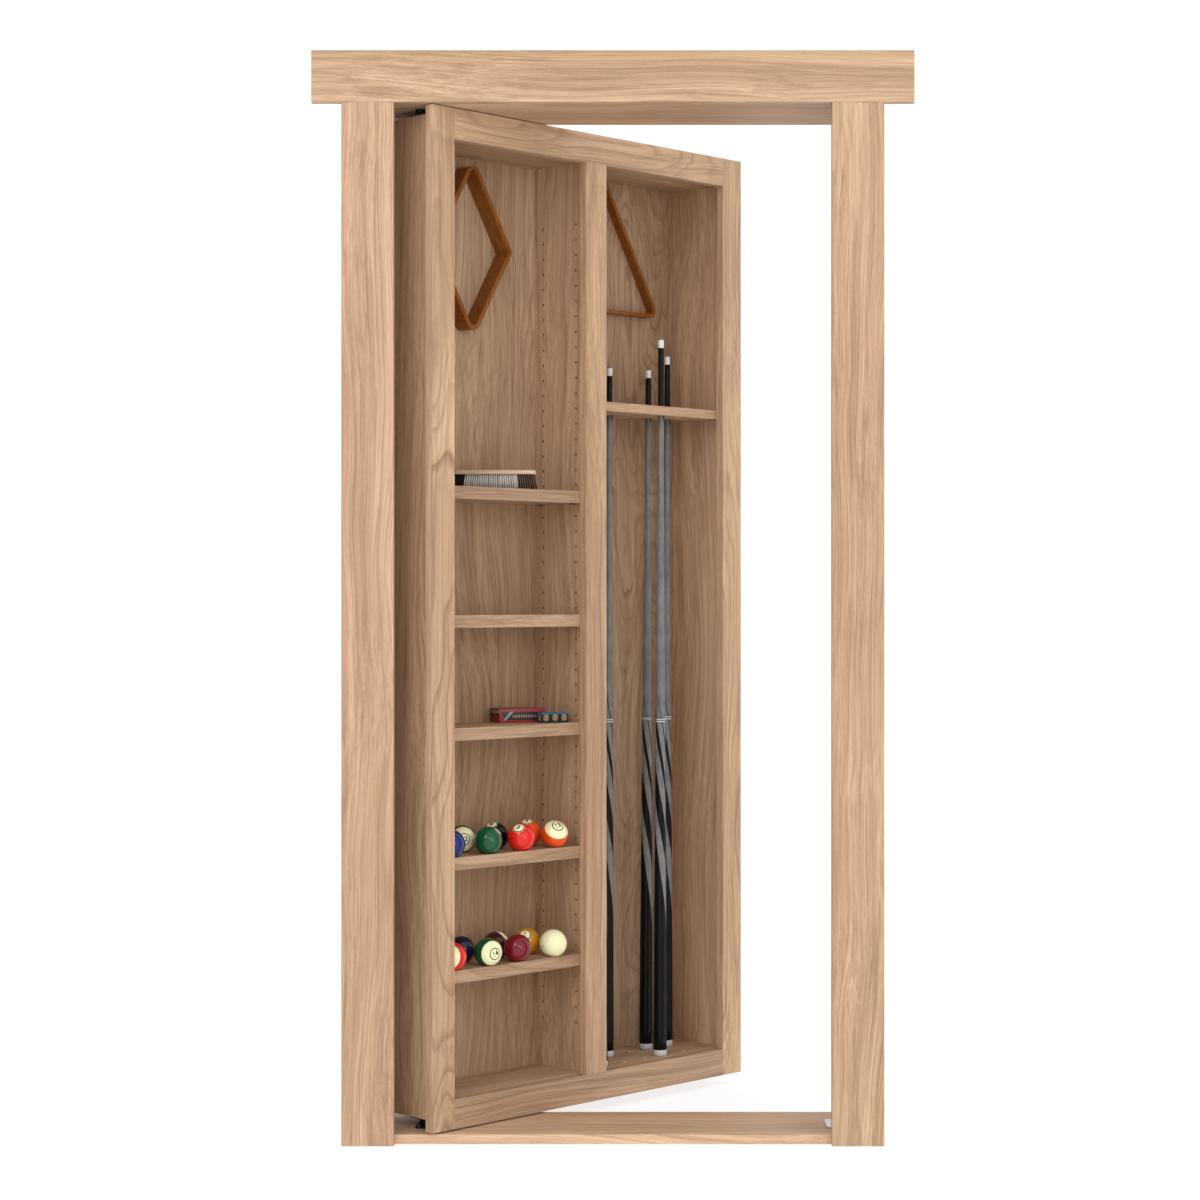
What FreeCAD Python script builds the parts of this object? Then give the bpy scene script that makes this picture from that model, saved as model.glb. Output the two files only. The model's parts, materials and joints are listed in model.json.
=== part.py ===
"""Pivoting cabinet door with a billiard cue rack, hung in its own door frame.

Millimetres, +Z up.  The origin is on the floor under the middle of the sill, and the room
side of the frame faces -Y.  While drawing, y = 0 is the plane where the casing boards meet the
jambs; save() moves everything back by half the jamb depth.

The cabinet is drawn in door coordinates: u runs along the face from the hinge side, v runs
back into the cabinet, z is height.  hang() then swings it to its rest position.
"""
import math
import os

import FreeCAD
import Part

V = FreeCAD.Vector
Z_AXIS = V(0, 0, 1)

# ---- door frame -------------------------------------------------------------------------
BOARD = 19.0                 # thickness of every sawn board
OPENING_HALF = 490.0         # half the clear width between the side jambs
HEAD_Z = 2032.0              # underside of the head jamb
JAMB_DEPTH = 212.0
CASING_T = 20.0
CASING_W = 102.0
CASING_INNER = 426.5         # casing legs reach this close to the middle and act as door stop
HEAD_CASING_HALF = 587.0
HEAD_CASING_H = 101.0

# ---- cabinet door -----------------------------------------------------------------------
DOOR_W = 897.5
DOOR_BOTTOM = 22.5
DOOR_TOP = 2030.0
SIDE_STILE = 58.7
CENTRE_STILE = (420.6, 479.6)
TOP_RAIL_Z = 1969.5          # lower edge of the top rail
BOTTOM_RAIL_Z = 80.4         # upper edge of the bottom rail
BOX_INSET = 19.0             # cabinet sides stand this far inside the stile edges
BOX_BACK = 188.0             # back of the cabinet, measured from the door face
BOX_Z = (41.0, 2019.0)
DIVIDER_U = 432.0            # left face of the divider
CEILING_Z = 1975.0           # underside of the cabinet's top panel

# ---- pivot ------------------------------------------------------------------------------
PIVOT_U = 52.0
PIVOT_V = 79.0
PIVOT_XY = (-371.5, 80.5)
REST_ANGLE = 45.0            # the door stands half open at rest
PIN_R = 6.0
SOCKET_R = 10.0
PLATE = (58.0, 38.0, 3.0)    # pivot plates: length, width, thickness
RUN_GAP = 0.05               # radial gap of every running fit

# ---- cue rack, shelves and contents -----------------------------------------------------
CUE_SHELF_TOP = 1479.0
CUE_PITCH = 60.0
FRONT_ROW = (508.0, 43.0)    # u, v of the first hole of each row
BACK_ROW = (544.0, 116.0)
HOLES_PER_ROW = 5
CUE_HOLE_R = 12.5
FRONT_RESTS = (521.5, 40.0)  # u, v of the first butt rest of each row in the cabinet floor
BACK_RESTS = (551.5, 116.0)
DIMPLE_R = (2.6, 8.0)
DIMPLE_DEPTH = 9.0
DADO = 6.0                   # depth of the grooves that hold the cue shelf
SHELF_T = 25.0
SHELF_FRONT_V = 20.0
PIN_HOLE_R = 3.175
PIN_HOLE_DEPTH = 10.0
PIN_HOLE_Z0 = 182.0
PIN_HOLE_PITCH = 32.0
PIN_HOLE_COUNT = 53
PIN_COLUMNS_V = (43.0, 142.0)
SHELF_DROP = 6.0             # shelf underside below the support's pin
SHELF_HOLES = (34, 26, 19, 11, 4)
BALL_R = 28.575
BALL_SINK = 2.5              # each ball sits this deep in a round hollow of its shelf
BUTT_LEN = 727.0
BUTT_R = 14.6
JOINT_R = 10.6
FERRULE_R = 6.1
FERRULE_LEN = 17.0
CAP_LEN = 13.0
# row, hole, whole length, and how far the butt stands off the hole's axis (u, v)
CUES = (
    ("front", 0, 1475.0, -2.0, 1.0),
    ("back", 1, 1486.0, -5.0, 3.0),
    ("front", 3, 1547.0, -2.0, 1.0),
    ("back", 3, 1489.0, -5.0, 3.0),
    ("back", 4, 1522.5, -2.5, 1.5),
)

SIDE_L = BOX_INSET
SIDE_L_IN = SIDE_L + BOARD
SIDE_R = DOOR_W - BOX_INSET
SIDE_R_IN = SIDE_R - BOARD
DIVIDER_R = DIVIDER_U + BOARD
BACK_V = BOX_BACK - BOARD
FLOOR_Z = BOTTOM_RAIL_Z

parts = {}


def block(x0, x1, y0, y1, z0, z1):
    return Part.makeBox(x1 - x0, y1 - y0, z1 - z0, V(x0, y0, z0))


def rod(x, y, z0, z1, radius):
    return Part.makeCylinder(radius, z1 - z0, V(x, y, z0), Z_AXIS)


def cone(x, y, z0, z1, r0, r1):
    if abs(r0 - r1) < 1e-6:
        return rod(x, y, z0, z1, r0)
    return Part.makeCone(r0, r1, z1 - z0, V(x, y, z0), Z_AXIS)


def fused(shapes):
    whole = shapes[0]
    for shape in shapes[1:]:
        whole = whole.fuse(shape)
    return whole.removeSplitter()


def group(shapes):
    return Part.makeCompound(shapes)


def hang(shape):
    """Move a cabinet piece from door coordinates to its place in the frame."""
    moved = shape.copy()
    moved.translate(V(PIVOT_XY[0] - PIVOT_U, PIVOT_XY[1] - PIVOT_V, 0))
    moved.rotate(V(PIVOT_XY[0], PIVOT_XY[1], 0), Z_AXIS, REST_ANGLE)
    return moved


def screw(start, direction, length, shank_r, head_r, grow=0.0):
    """Countersunk screw with its head face at start; grow makes the hole that takes it."""
    head_len = head_r - shank_r
    start = V(*start)
    direction = V(*direction)
    head = Part.makeCone(head_r + grow, shank_r + grow, head_len, start, direction)
    shank = Part.makeCylinder(shank_r + grow, length - head_len + grow,
                              start + direction * head_len, direction)
    body = head.fuse(shank)
    if grow > 0:
        return body
    arm = head_r * 0.62
    slot_half = head_r * 0.11
    recess = block(-arm, arm, -slot_half, slot_half, 0, head_len * 0.8)
    recess = recess.fuse(block(-slot_half, slot_half, -arm, arm, 0, head_len * 0.8))
    recess.Placement = FreeCAD.Placement(start, FreeCAD.Rotation(Z_AXIS, direction))
    return body.cut(recess)


def ease(shape, radius, wanted):
    """Round the edges picked by wanted(edge)."""
    edges = [edge for edge in shape.Edges if wanted(edge)]
    return shape.makeFillet(radius, edges)


def save(name, shape):
    placed = shape.copy()
    placed.translate(V(0, -JAMB_DEPTH / 2, 0))
    placed.exportStep("parts/%s.step" % name)


def on_front(y):
    def wanted(edge):
        return all(abs(vertex.Point.y - y) < 0.01 for vertex in edge.Vertexes)
    return wanted


# ---- door frame -------------------------------------------------------------------------
def frame_parts():
    outer = OPENING_HALF + BOARD
    for name, side in (("left", -1), ("right", 1)):
        near, far = sorted((side * CASING_INNER, side * (CASING_INNER + CASING_W)))
        leg = block(near, far, -CASING_T, 0, 0, HEAD_Z)
        parts["casing_" + name] = ease(leg, 1.5, on_front(-CASING_T))
        near, far = sorted((side * OPENING_HALF, side * outer))
        parts["jamb_" + name] = block(near, far, 0, JAMB_DEPTH, 0, HEAD_Z + BOARD)
    head = block(-HEAD_CASING_HALF, HEAD_CASING_HALF, -CASING_T, 0, HEAD_Z, HEAD_Z + HEAD_CASING_H)
    parts["casing_head"] = ease(head, 1.5, on_front(-CASING_T))
    parts["jamb_head"] = block(-OPENING_HALF, OPENING_HALF, 0, JAMB_DEPTH, HEAD_Z, HEAD_Z + BOARD)
    parts["sill"] = block(-OPENING_HALF, OPENING_HALF, 0, JAMB_DEPTH, 0, BOARD)


JAMB_SCREW = dict(length=50.0, shank_r=2.2, head_r=4.5)
MOUNT_HOLE_R = 2.75
MOUNT_HOLE_Y = (60.0, 150.0)
MOUNT_HOLE_Z = (300.0, 1750.0)


def frame_fasteners():
    """Screws through the side jambs into the ends of the head jamb and the sill."""
    screws = []
    for name, side in (("left", -1), ("right", 1)):
        face = side * (OPENING_HALF + BOARD)
        for y in (40.0, 172.0):
            for z, end in ((BOARD / 2, "sill"), (HEAD_Z + BOARD / 2, "jamb_head")):
                start = (face, y, z)
                inward = (-side, 0, 0)
                screws.append(screw(start, inward, **JAMB_SCREW))
                hole = screw(start, inward, grow=RUN_GAP, **JAMB_SCREW)
                parts["jamb_" + name] = parts["jamb_" + name].cut(hole)
                parts[end] = parts[end].cut(hole)
        for y in MOUNT_HOLE_Y:
            for z in MOUNT_HOLE_Z:
                inner = side * OPENING_HALF
                hole = Part.makeCylinder(MOUNT_HOLE_R, BOARD, V(inner, y, z), V(side, 0, 0))
                sink = Part.makeCone(MOUNT_HOLE_R + 3.0, MOUNT_HOLE_R, 3.0, V(inner, y, z),
                                     V(side, 0, 0))
                parts["jamb_" + name] = parts["jamb_" + name].cut(hole.fuse(sink))
    return screws


# ---- cabinet ----------------------------------------------------------------------------
def face_frame():
    parts["stile_left"] = block(0, SIDE_STILE, 0, BOARD, DOOR_BOTTOM, DOOR_TOP)
    parts["stile_right"] = block(DOOR_W - SIDE_STILE, DOOR_W, 0, BOARD, DOOR_BOTTOM, DOOR_TOP)
    parts["stile_centre"] = block(*CENTRE_STILE, 0, BOARD, BOTTOM_RAIL_Z, TOP_RAIL_Z)
    rail_u = (SIDE_STILE, DOOR_W - SIDE_STILE)
    parts["rail_top"] = block(*rail_u, 0, BOARD, TOP_RAIL_Z, DOOR_TOP)
    parts["rail_bottom"] = block(*rail_u, 0, BOARD, DOOR_BOTTOM, BOTTOM_RAIL_Z)


def pin_holes(u, direction):
    holes = []
    for v in PIN_COLUMNS_V:
        for step in range(PIN_HOLE_COUNT):
            z = PIN_HOLE_Z0 + step * PIN_HOLE_PITCH
            holes.append(Part.makeCylinder(PIN_HOLE_R, PIN_HOLE_DEPTH, V(u, v, z), V(direction, 0, 0)))
    return group(holes)


def cue_places(front=FRONT_ROW, back=BACK_ROW):
    """u, v of every hole of the cue rack, or of every rest below it, front row first."""
    rows = {"front": front, "back": back}
    places = {}
    for row, (u, v) in rows.items():
        for hole in range(HOLES_PER_ROW):
            places[(row, hole)] = (u + hole * CUE_PITCH, v)
    return places


def cabinet_box():
    side_l = block(SIDE_L, SIDE_L_IN, BOARD, BOX_BACK, *BOX_Z)
    side_l = side_l.cut(pin_holes(SIDE_L_IN, -1))
    side_r = block(SIDE_R_IN, SIDE_R, BOARD, BOX_BACK, *BOX_Z)
    divider = block(DIVIDER_U, DIVIDER_R, BOARD, BACK_V, FLOOR_Z, CEILING_Z)
    divider = divider.cut(pin_holes(DIVIDER_U, 1))
    groove_z = (CUE_SHELF_TOP - BOARD, CUE_SHELF_TOP)
    side_r = side_r.cut(block(SIDE_R_IN, SIDE_R_IN + DADO, BOARD, BACK_V, *groove_z))
    divider = divider.cut(block(DIVIDER_R - DADO, DIVIDER_R, BOARD, BACK_V, *groove_z))
    parts["side_left"] = side_l
    parts["side_right"] = side_r
    parts["divider"] = divider
    parts["back_panel"] = block(SIDE_L_IN, SIDE_R_IN, BACK_V, BOX_BACK, *BOX_Z)
    inside = (SIDE_L_IN, SIDE_R_IN, BOARD, BACK_V)
    parts["top_panel"] = block(*inside, CEILING_Z, CEILING_Z + BOARD)
    floor = block(*inside, FLOOR_Z - BOARD, FLOOR_Z)
    rack = block(DIVIDER_R - DADO, SIDE_R_IN + DADO, SHELF_FRONT_V, BACK_V, *groove_z)
    for u, v in cue_places().values():
        rack = rack.cut(rod(u, v, groove_z[0], groove_z[1], CUE_HOLE_R))
    for u, v in cue_places(FRONT_RESTS, BACK_RESTS).values():
        floor = floor.cut(cone(u, v, FLOOR_Z - DIMPLE_DEPTH, FLOOR_Z, *DIMPLE_R))
    parts["bottom_panel"] = floor
    parts["cue_shelf"] = rack


def shelf_support(u, v, z, inward):
    """L-shaped support: a pin in the panel, a back plate and a ledge under the shelf."""
    pin_r = PIN_HOLE_R - RUN_GAP
    pin = Part.makeCylinder(pin_r, PIN_HOLE_DEPTH - 1.0, V(u, v, z), V(-inward, 0, 0))
    plate_u = sorted((u, u + inward * 1.5))
    plate = block(*plate_u, v - 5, v + 5, z - SHELF_DROP - 2.0, z + 5)
    ledge_u = sorted((u, u + inward * 14.0))
    ledge = block(*ledge_u, v - 5, v + 5, z - SHELF_DROP - 2.0, z - SHELF_DROP)
    return fused([pin, plate, ledge])


def shelf_top(index):
    return PIN_HOLE_Z0 + SHELF_HOLES[index] * PIN_HOLE_PITCH - SHELF_DROP + SHELF_T


def shelves():
    supports = []
    for index, step in enumerate(SHELF_HOLES):
        pin_z = PIN_HOLE_Z0 + step * PIN_HOLE_PITCH
        top = shelf_top(index)
        board = block(SIDE_L_IN + 2, DIVIDER_U - 2, SHELF_FRONT_V, BACK_V - 1, top - SHELF_T, top)
        parts["shelf_%d" % (index + 1)] = board
        for v in PIN_COLUMNS_V:
            supports.append(hang(shelf_support(SIDE_L_IN, v, pin_z, 1)))
            supports.append(hang(shelf_support(DIVIDER_U, v, pin_z, -1)))
    return group(supports)


# ---- pivots and catch -------------------------------------------------------------------
PLATE_SCREW = dict(length=16.0, shank_r=1.8, head_r=3.8)
SCREW_SPREAD = (22.0, 11.0)
BLOCK_U = (SIDE_L_IN, 140.0)
SOCKET_LEN = 18.0
SOCKET_WALL = 4.0


def plate_screw_starts(x, y, z, size=SCREW_SPREAD):
    return [(x + dx, y + dy, z) for dx in (-size[0], size[0]) for dy in (-size[1], size[1])]


def plate_blank(x, y, z0, size=PLATE):
    plate = block(x - size[0] / 2, x + size[0] / 2, y - size[1] / 2, y + size[1] / 2,
                  z0, z0 + PLATE[2])
    return ease(plate, 6.0, lambda edge: abs(edge.Vertexes[0].Z - edge.Vertexes[-1].Z) > 1.0)


def drive(starts, direction, plate, under):
    """Countersink a plate, drill the piece it is fixed to and return both and the screws."""
    screws = []
    for start in starts:
        screws.append(screw(start, direction, **PLATE_SCREW))
        hole = screw(start, direction, grow=RUN_GAP, **PLATE_SCREW)
        plate = plate.cut(hole)
        under = under.cut(hole)
    return plate, under, screws


def pivots():
    x, y = PIVOT_XY
    u, v = PIVOT_U, PIVOT_V
    z_plate = BOX_Z[0] - PLATE[2]
    across = (PLATE[1], PLATE[0])
    spread = (SCREW_SPREAD[1], SCREW_SPREAD[0])

    foot = plate_blank(x, y, BOARD, across)
    foot, parts["sill"], screws = drive(plate_screw_starts(x, y, BOARD + PLATE[2], spread), (0, 0, -1),
                                        foot, parts["sill"])
    shoulder_z = z_plate - 2.0
    foot = fused([foot, rod(x, y, BOARD + PLATE[2], shoulder_z, 12.0),
                  rod(x, y, shoulder_z, z_plate + SOCKET_LEN - 2.0, PIN_R)])
    parts["pivot_floor"] = foot
    washer = rod(x, y, shoulder_z, z_plate - RUN_GAP, 12.0)
    parts["thrust_washer"] = washer.cut(rod(x, y, shoulder_z, z_plate, PIN_R + RUN_GAP))

    lintel = plate_blank(x, y, HEAD_Z - PLATE[2], across)
    lintel, parts["jamb_head"], more = drive(plate_screw_starts(x, y, HEAD_Z - PLATE[2], spread), (0, 0, 1),
                                             lintel, parts["jamb_head"])
    z_socket_top = BOX_Z[1] + PLATE[2]
    pin = rod(x, y, z_socket_top - SOCKET_LEN + 2.0, HEAD_Z - PLATE[2], PIN_R)
    parts["pivot_head"] = fused([lintel, pin])
    frame_screws = screws + more

    foot_block = block(*BLOCK_U, BOARD, BACK_V, BOX_Z[0], FLOOR_Z - BOARD)
    head_block = block(*BLOCK_U, BOARD, BACK_V, CEILING_Z + BOARD, BOX_Z[1])
    low = plate_blank(u, v, z_plate)
    low_tube = rod(u, v, BOX_Z[0], z_plate + SOCKET_LEN, SOCKET_R)
    bore = rod(u, v, z_plate, z_plate + SOCKET_LEN, PIN_R + RUN_GAP)
    foot_block = foot_block.cut(rod(u, v, BOX_Z[0], z_plate + SOCKET_LEN, SOCKET_R))
    low, foot_block, screws = drive(plate_screw_starts(u, v, z_plate), (0, 0, 1), low, foot_block)
    for start in plate_screw_starts(u, v, z_plate):
        hole = screw(start, (0, 0, 1), grow=RUN_GAP, **PLATE_SCREW)
        parts["side_left"] = parts["side_left"].cut(hole)
    parts["pivot_socket_bottom"] = fused([low, low_tube]).cut(bore)
    high = plate_blank(u, v, BOX_Z[1])
    high_tube = rod(u, v, z_socket_top - SOCKET_LEN, BOX_Z[1], SOCKET_R)
    bore = rod(u, v, z_socket_top - SOCKET_LEN, z_socket_top, PIN_R + RUN_GAP)
    head_block = head_block.cut(rod(u, v, z_socket_top - SOCKET_LEN, BOX_Z[1], SOCKET_R))
    high, head_block, more = drive(plate_screw_starts(u, v, z_socket_top), (0, 0, -1),
                                   high, head_block)
    for start in plate_screw_starts(u, v, z_socket_top):
        hole = screw(start, (0, 0, -1), grow=RUN_GAP, **PLATE_SCREW)
        parts["side_left"] = parts["side_left"].cut(hole)
    parts["pivot_socket_top"] = fused([high, high_tube]).cut(bore)
    parts["pivot_block_bottom"] = foot_block
    parts["pivot_block_top"] = head_block
    return frame_screws, [hang(one) for one in screws + more]


CATCH_XY = (445.5, 95.0)
CATCH_PLATE = (44.0, 76.0, 2.0)


def catch():
    """Pot magnet on a plate on the sill, and the steel stud under the cabinet it holds."""
    x, y = CATCH_XY
    top = BOARD + CATCH_PLATE[2]
    plate = block(x - CATCH_PLATE[0] / 2, x + CATCH_PLATE[0] / 2,
                  y - CATCH_PLATE[1] / 2, y + CATCH_PLATE[1] / 2, BOARD, top)
    plate = ease(plate, 8.0, lambda edge: abs(edge.Vertexes[0].Z - edge.Vertexes[-1].Z) > 1.0)
    plate = plate.cut(rod(x, y, BOARD, top, 9.0 + RUN_GAP))
    screws = []
    for dy in (-26.0, 26.0):
        start = (x, y + dy, top)
        screws.append(screw(start, (0, 0, -1), **PLATE_SCREW))
        hole = screw(start, (0, 0, -1), grow=RUN_GAP, **PLATE_SCREW)
        plate = plate.cut(hole)
        parts["sill"] = parts["sill"].cut(hole)
    pot = rod(x, y, BOARD, BOARD + 2.5, 9.0)
    parts["catch_magnet"] = pot.cut(rod(x, y, BOARD + 1.0, BOARD + 2.5, 2.5))
    parts["catch_plate"] = plate

    u = x - PIVOT_XY[0] + PIVOT_U
    v = y - PIVOT_XY[1] + PIVOT_V
    stud = rod(u, v, DOOR_BOTTOM + 0.5, BOX_Z[0], 8.0)
    start = (u, v, DOOR_BOTTOM + 0.5)
    fixing = dict(length=40.0, shank_r=1.8, head_r=3.8)
    hole = screw(start, (0, 0, 1), grow=RUN_GAP, **fixing)
    parts["catch_stud"] = stud.cut(hole)
    parts["side_right"] = parts["side_right"].cut(hole)
    return screws, hang(screw(start, (0, 0, 1), **fixing))


# ---- contents ---------------------------------------------------------------------------
def ring(points, depth, v_front, corner_r, wall):
    """Closed frame of constant wall round the polygon points (u, z), corners rounded."""
    def prism(inset, radii):
        count = len(points)
        cu = sum(p[0] for p in points) / count
        cz = sum(p[1] for p in points) / count
        side = math.hypot(points[1][0] - points[0][0], points[1][1] - points[0][1])
        mid = V((points[0][0] + points[1][0]) / 2 - cu, 0, (points[0][1] + points[1][1]) / 2 - cz)
        along = V((points[1][0] - points[0][0]) / side, 0, (points[1][1] - points[0][1]) / side)
        apothem = (mid - along * mid.dot(along)).Length
        scale = (apothem - inset) / apothem
        corners = [V(cu + (p[0] - cu) * scale, v_front, cz + (p[1] - cz) * scale) for p in points]
        face = Part.Face(Part.makePolygon(corners + [corners[0]]))
        solid = face.extrude(V(0, depth, 0))
        for corner, radius in zip(corners, radii):
            edges = [e for e in solid.Edges
                     if all(abs(q.X - corner.x) < 0.01 and abs(q.Z - corner.z) < 0.01
                            for q in e.Vertexes)]
            solid = solid.makeFillet(radius, edges)
        return solid
    inner_r = [max(radius - wall, 1.0) for radius in corner_r]
    return prism(0.0, corner_r).cut(prism(wall, inner_r))


TRIANGLE = dict(centre_u=617.4, base_z=1687.0, side=348.0, corner_r=16.0, wall=8.0, depth=22.0)
DIAMOND = dict(centre_u=223.6, centre_z=1785.2, half_w=108.0, wall=9.2, depth=40.0)
PEG_R = 4.0


def racks():
    pegs = []
    back = BACK_V - 0.5
    t = TRIANGLE
    apex_z = t["base_z"] + t["side"] * math.sqrt(3) / 2
    points = [(t["centre_u"] - t["side"] / 2, t["base_z"]),
              (t["centre_u"] + t["side"] / 2, t["base_z"]),
              (t["centre_u"], apex_z)]
    parts["triangle_rack"] = ring(points, t["depth"], back - t["depth"], [t["corner_r"]] * 3, t["wall"])
    inner_top = apex_z - t["corner_r"] - t["wall"]
    pegs.append((t["centre_u"], inner_top - PEG_R, t["depth"]))
    d = DIAMOND
    half_h = d["half_w"] * math.sqrt(3)
    points = [(d["centre_u"], d["centre_z"] - half_h),
              (d["centre_u"] + d["half_w"], d["centre_z"]),
              (d["centre_u"], d["centre_z"] + half_h),
              (d["centre_u"] - d["half_w"], d["centre_z"])]
    parts["diamond_rack"] = ring(points, d["depth"], back - d["depth"], [19.0, 10.5, 19.0, 10.5],
                                 d["wall"])
    inner_top = d["centre_z"] + half_h - 19.0 - d["wall"]
    pegs.append((d["centre_u"], inner_top - PEG_R, d["depth"]))
    shapes = []
    for u, z, depth in pegs:
        peg = Part.makeCylinder(PEG_R - 0.1, depth + 22.0, V(u, back - depth - 10.0, z), V(0, 1, 0))
        shapes.append(peg)
        hole = Part.makeCylinder(PEG_R - 0.05, 12.0, V(u, BACK_V, z), V(0, 1, 0))
        parts["back_panel"] = parts["back_panel"].cut(hole)
    return group([hang(one) for one in shapes])


BRUSH_MIDDLE = (250.4, 94.8)
BRUSH_SIZE = (170.0, 36.0)
BRUSH_TURN = -45.0
BRUSH_BLOCK_H = 8.5
BRISTLE_H = 31.0
TUFT_HALF = (81.0, 87.5)     # half length of the bristles under the stock and on the shelf
TUFT_W = 28.0


def brush():
    """Table brush lying askew on the top shelf, its bristles a little longer than its stock."""
    z = shelf_top(0)
    top = z + BRISTLE_H + BRUSH_BLOCK_H
    half, wide = BRUSH_SIZE[0] / 2, BRUSH_SIZE[1] / 2
    grip = block(-half, half, -wide, wide, z + BRISTLE_H, top)
    grip = ease(grip, 10.0, lambda edge: abs(edge.Vertexes[0].Z - edge.Vertexes[-1].Z) > 1.0)
    grip = ease(grip, 2.5, lambda edge: all(abs(q.Z - top) < 0.01 for q in edge.Vertexes))
    high, low = TUFT_HALF
    corners = [V(-low, -TUFT_W / 2, z), V(low, -TUFT_W / 2, z), V(high, -TUFT_W / 2, z + BRISTLE_H),
               V(-high, -TUFT_W / 2, z + BRISTLE_H)]
    tuft = Part.Face(Part.makePolygon(corners + [corners[0]])).extrude(V(0, TUFT_W, 0))
    for name, shape in (("brush_block", grip), ("brush_bristles", tuft)):
        shape.rotate(V(0, 0, 0), Z_AXIS, BRUSH_TURN)
        shape.translate(V(*BRUSH_MIDDLE, 0))
        parts[name] = shape


CHALK_BOX = (102.0, 50.0, 29.0)
CHALK_CUBE = (20.3, 20.3, 21.0)


def chalk():
    z = shelf_top(2)
    carton = block(0, CHALK_BOX[0], 0, CHALK_BOX[1], z, z + CHALK_BOX[2])
    carton.rotate(V(0, 0, 0), Z_AXIS, -20.9)
    carton.translate(V(285.0, 118.0, 0))
    parts["chalk_box"] = carton
    cubes = []
    for index in range(3):
        start = index * (CHALK_CUBE[0] + 0.6)
        cube = block(start, start + CHALK_CUBE[0], 0, CHALK_CUBE[1], z, z + CHALK_CUBE[2])
        cup = Part.makeSphere(15.0, V(start + CHALK_CUBE[0] / 2, CHALK_CUBE[1] / 2,
                                      z + CHALK_CUBE[2] + 13.0))
        cube = cube.cut(cup)
        cube.rotate(V(0, 0, 0), Z_AXIS, -16.5)
        cube.translate(V(349.0, 58.0, 0))
        cubes.append(hang(cube))
    return group(cubes)


# centres of the balls (u) in the front and the back row of each shelf
BALL_ROWS = {
    3: {38.0: (82.0, 182.0, 272.0, 366.0), 97.0: (72.0, 162.6, 252.7, 345.1)},
    4: {36.0: (84.3, 179.4, 259.9, 360.3), 97.0: (72.0, 160.7, 256.3, 341.7)},
}


def balls():
    """Balls of two shelves, each in its own hollow; the hollows are cut into the shelves here."""
    shapes = []
    for index, rows in BALL_ROWS.items():
        name = "shelf_%d" % (index + 1)
        z = shelf_top(index) + BALL_R - BALL_SINK
        for v, columns in rows.items():
            for u in columns:
                shapes.append(hang(Part.makeSphere(BALL_R, V(u, v, z))))
                parts[name] = parts[name].cut(Part.makeSphere(BALL_R + RUN_GAP, V(u, v, z)))
    return group(shapes)


def cue(row, hole, length, du, dv):
    """Butt, shaft and trim of one cue, leaning from its butt to the hole in the rack."""
    u, v = cue_places()[(row, hole)]
    tip = length
    butt = cone(0, 0, CAP_LEN, BUTT_LEN, BUTT_R, JOINT_R)
    joint_r = JOINT_R - 0.1
    shaft_top = tip - FERRULE_LEN - 4.0
    knee = tip - 320.0
    shaft = fused([cone(0, 0, BUTT_LEN, knee, joint_r, FERRULE_R + 0.7),
                   cone(0, 0, knee, shaft_top, FERRULE_R + 0.7, FERRULE_R)])
    cap = cone(0, 0, 1.5, CAP_LEN, BUTT_R + 0.1, BUTT_R)
    cap = cap.fuse(cone(0, 0, 0, 1.5, BUTT_R - 1.2, BUTT_R + 0.1)).removeSplitter()
    ferrule = rod(0, 0, shaft_top, tip - 4.0, FERRULE_R)
    leather = rod(0, 0, tip - 4.0, tip, FERRULE_R)
    rise = CUE_SHELF_TOP - FLOOR_Z
    lean = V(-du, -dv, rise)
    spin = FreeCAD.Rotation(Z_AXIS, lean)
    pieces = {}
    for name, shape in (("butt", butt), ("shaft", shaft), ("cap", cap), ("tip", group([ferrule, leather]))):
        moved = shape.copy()
        moved.Placement = FreeCAD.Placement(V(u + du, v + dv, FLOOR_Z + 0.15), spin)
        pieces[name] = hang(moved)
    return pieces


def main():
    frame_parts()
    frame_screws = frame_fasteners()
    face_frame()
    cabinet_box()
    supports = shelves()
    pivot_screws, door_screws = pivots()
    catch_screws, stud_screw = catch()
    pegs = racks()
    brush()
    cubes = chalk()
    resting = balls()
    cabinet = [
        "stile_left", "stile_right", "stile_centre", "rail_top", "rail_bottom", "side_left",
        "side_right", "divider", "back_panel", "top_panel", "bottom_panel", "cue_shelf",
        "shelf_1", "shelf_2", "shelf_3", "shelf_4", "shelf_5", "pivot_socket_bottom",
        "pivot_socket_top", "pivot_block_bottom", "pivot_block_top", "catch_stud",
        "triangle_rack", "diamond_rack", "brush_block", "brush_bristles", "chalk_box",
    ]
    for name in cabinet:
        parts[name] = hang(parts[name])
    parts["shelf_supports"] = supports
    parts["frame_screws"] = group(frame_screws + pivot_screws + catch_screws)
    parts["door_screws"] = group(door_screws + [stud_screw])
    parts["rack_pegs"] = pegs
    parts["chalk_cubes"] = cubes
    parts["balls"] = resting
    for number, spec in enumerate(CUES, start=1):
        pieces = cue(*spec)
        parts["cue_%d_butt" % number] = pieces["butt"]
        parts["cue_%d_shaft" % number] = pieces["shaft"]
        parts["cue_%d_trim" % number] = group([pieces["cap"]] + pieces["tip"].Solids)
    os.makedirs("parts", exist_ok=True)
    for name, shape in parts.items():
        save(name, shape)


main()
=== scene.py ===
"""Looks for the pivoting cabinet door with its cue rack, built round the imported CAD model.

Metres, +Z up.  Door coordinates (u, v, z), as in the CAD: u runs along the door's face from the
hinge side, v runs back into the cabinet.
"""
import json
import math
import random

import bmesh
import bpy
from mathutils import Matrix, Vector


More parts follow.
